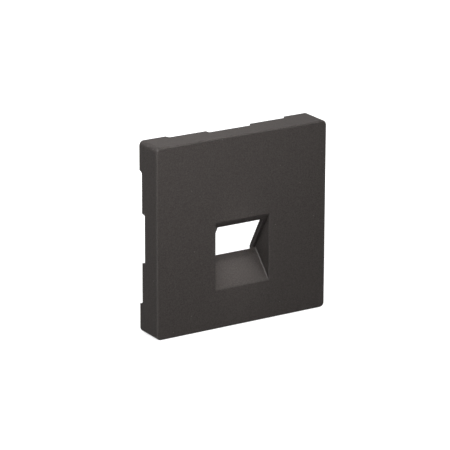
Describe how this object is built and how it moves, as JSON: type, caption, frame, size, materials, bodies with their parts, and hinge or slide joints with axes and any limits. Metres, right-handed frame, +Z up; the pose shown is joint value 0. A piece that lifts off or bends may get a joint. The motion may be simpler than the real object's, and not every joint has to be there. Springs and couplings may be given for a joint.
{
  "type": "keystone faceplate",
  "caption": "Square clip-on centre plate for a flush wall outlet, with a recessed, tilted port for a keystone jack and snap clips at the back.",
  "frame": {"origin": "centre of the seating plane, where the rear rim meets the support frame", "axes": "+Y into the wall, +Z up, +X to the right seen from the room"},
  "size_m": [0.055, 0.0142, 0.055],
  "materials": {
    "moulded_plastic": "satin, fine-textured"
  },
  "bodies": {
    "root": {"faceplate": "moulded_plastic"}
  },
  "joints": []
}
